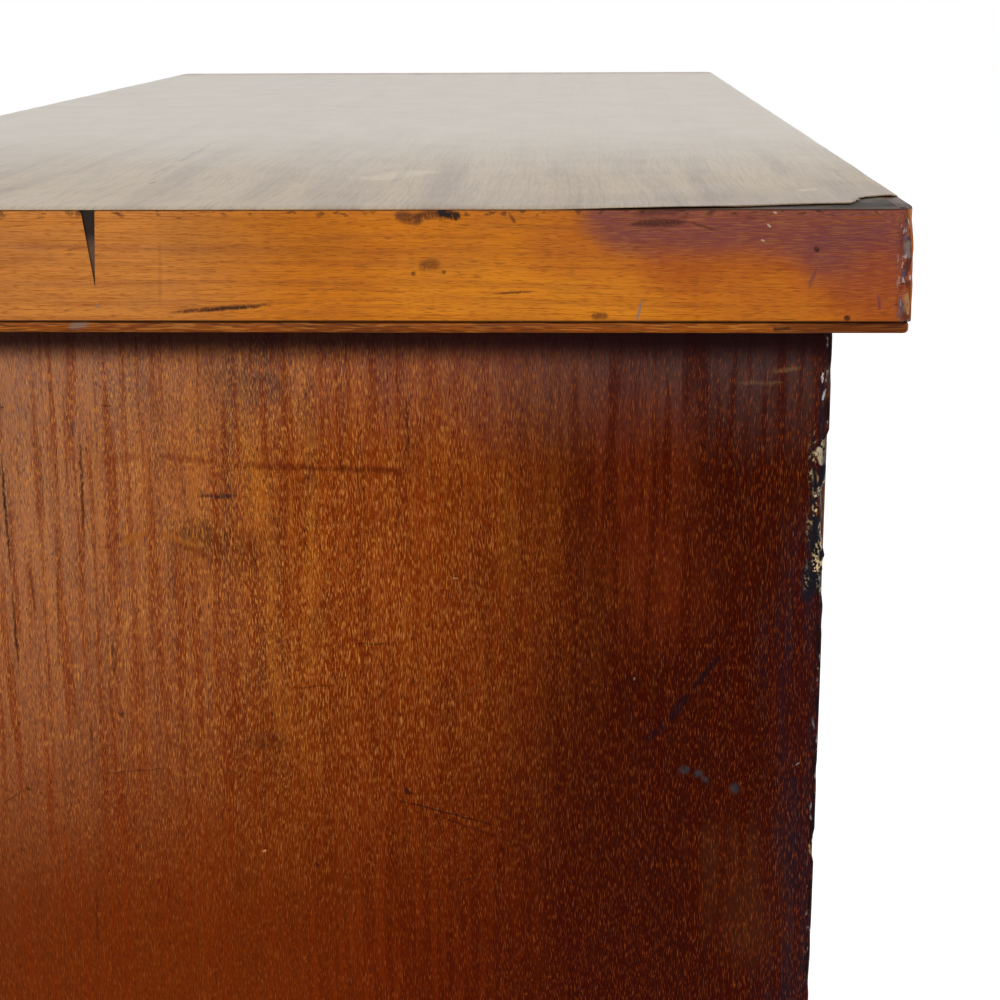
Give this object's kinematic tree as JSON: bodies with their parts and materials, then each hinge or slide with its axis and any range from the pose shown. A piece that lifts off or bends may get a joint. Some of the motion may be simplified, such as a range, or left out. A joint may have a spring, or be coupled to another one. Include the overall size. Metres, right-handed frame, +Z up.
{
  "type": "chest of drawers",
  "caption": "Antique mahogany chest with short drawers over long ones, turned knobs, moulded plinth and bun feet; thick veneered top, worn at the edges and corner.",
  "frame": {"origin": "on the floor, under the middle of the whole chest's box, knobs included", "axes": "+X to the right of someone facing the chest, +Y from its front to its back, +Z up; the drawers open along -Y"},
  "size_m": [1.19, 0.504, 1.1255],
  "materials": {
    "mahogany_board": "french polished",
    "mahogany_facing": "french polished, worn",
    "mahogany_top": "french polished, worn",
    "mahogany_flame": "french polished",
    "mahogany_turned": "french polished",
    "oak": "bare, planed",
    "deal": "bare, planed",
    "brass": "aged"
  },
  "bodies": {
    "carcass": {"top_core": "deal", "top_veneer": "mahogany_top", "top_edge_front": "mahogany_facing", "top_edge_left": "mahogany_facing", "top_edge_right": "mahogany_facing", "top_beads": "mahogany_facing", "top_packing": "deal", "side_left": "mahogany_board", "side_right": "mahogany_board", "back_boards": "deal", "top_rails": "mahogany_board", "drawer_rails": "mahogany_board", "drawer_divider": "mahogany_board", "drawer_runners": "deal", "dust_boards": "deal", "drawer_stops": "deal", "bottom_board": "deal", "plinth": "mahogany_board", "bun_feet": "mahogany_turned", "glue_blocks": "deal"},
    "top_left_drawer": {"top_left_drawer_front": "mahogany_flame", "top_left_drawer_sides": "oak", "top_left_drawer_back": "oak", "top_left_drawer_bottom": "deal", "top_left_drawer_cockbeads": "mahogany_turned", "top_left_drawer_knobs": "mahogany_turned", "top_left_drawer_lock": "brass"},
    "top_left_drawer_lock_bolt": {"top_left_drawer_bolt": "brass"},
    "top_right_drawer": {"top_right_drawer_front": "mahogany_flame", "top_right_drawer_sides": "oak", "top_right_drawer_back": "oak", "top_right_drawer_bottom": "deal", "top_right_drawer_cockbeads": "mahogany_turned", "top_right_drawer_knobs": "mahogany_turned", "top_right_drawer_lock": "brass"},
    "top_right_drawer_lock_bolt": {"top_right_drawer_bolt": "brass"},
    "upper_drawer": {"upper_drawer_front": "mahogany_flame", "upper_drawer_sides": "oak", "upper_drawer_back": "oak", "upper_drawer_bottom": "deal", "upper_drawer_cockbeads": "mahogany_turned", "upper_drawer_knobs": "mahogany_turned", "upper_drawer_lock": "brass"},
    "upper_drawer_lock_bolt": {"upper_drawer_bolt": "brass"},
    "middle_drawer": {"middle_drawer_front": "mahogany_flame", "middle_drawer_sides": "oak", "middle_drawer_back": "oak", "middle_drawer_bottom": "deal", "middle_drawer_cockbeads": "mahogany_turned", "middle_drawer_knobs": "mahogany_turned", "middle_drawer_lock": "brass"},
    "middle_drawer_lock_bolt": {"middle_drawer_bolt": "brass"},
    "lower_drawer": {"lower_drawer_front": "mahogany_flame", "lower_drawer_sides": "oak", "lower_drawer_back": "oak", "lower_drawer_bottom": "deal", "lower_drawer_cockbeads": "mahogany_turned", "lower_drawer_knobs": "mahogany_turned", "lower_drawer_lock": "brass"},
    "lower_drawer_lock_bolt": {"lower_drawer_bolt": "brass"}
  },
  "joints": [
    {"name": "top_left_drawer_slide", "type": "slide", "parent": "carcass", "child": "top_left_drawer", "axis": [0, -1, 0], "range_m": [0, 0.35]},
    {"name": "top_left_drawer_bolt_slide", "type": "slide", "parent": "top_left_drawer", "child": "top_left_drawer_lock_bolt", "axis": [0, 0, 1], "range_m": [0, 0.006]},
    {"name": "top_right_drawer_slide", "type": "slide", "parent": "carcass", "child": "top_right_drawer", "axis": [0, -1, 0], "range_m": [0, 0.35]},
    {"name": "top_right_drawer_bolt_slide", "type": "slide", "parent": "top_right_drawer", "child": "top_right_drawer_lock_bolt", "axis": [0, 0, 1], "range_m": [0, 0.006]},
    {"name": "upper_drawer_slide", "type": "slide", "parent": "carcass", "child": "upper_drawer", "axis": [0, -1, 0], "range_m": [0, 0.35]},
    {"name": "upper_drawer_bolt_slide", "type": "slide", "parent": "upper_drawer", "child": "upper_drawer_lock_bolt", "axis": [0, 0, 1], "range_m": [0, 0.006]},
    {"name": "middle_drawer_slide", "type": "slide", "parent": "carcass", "child": "middle_drawer", "axis": [0, -1, 0], "range_m": [0, 0.35]},
    {"name": "middle_drawer_bolt_slide", "type": "slide", "parent": "middle_drawer", "child": "middle_drawer_lock_bolt", "axis": [0, 0, 1], "range_m": [0, 0.006]},
    {"name": "lower_drawer_slide", "type": "slide", "parent": "carcass", "child": "lower_drawer", "axis": [0, -1, 0], "range_m": [0, 0.35]},
    {"name": "lower_drawer_bolt_slide", "type": "slide", "parent": "lower_drawer", "child": "lower_drawer_lock_bolt", "axis": [0, 0, 1], "range_m": [0, 0.006]}
  ]
}
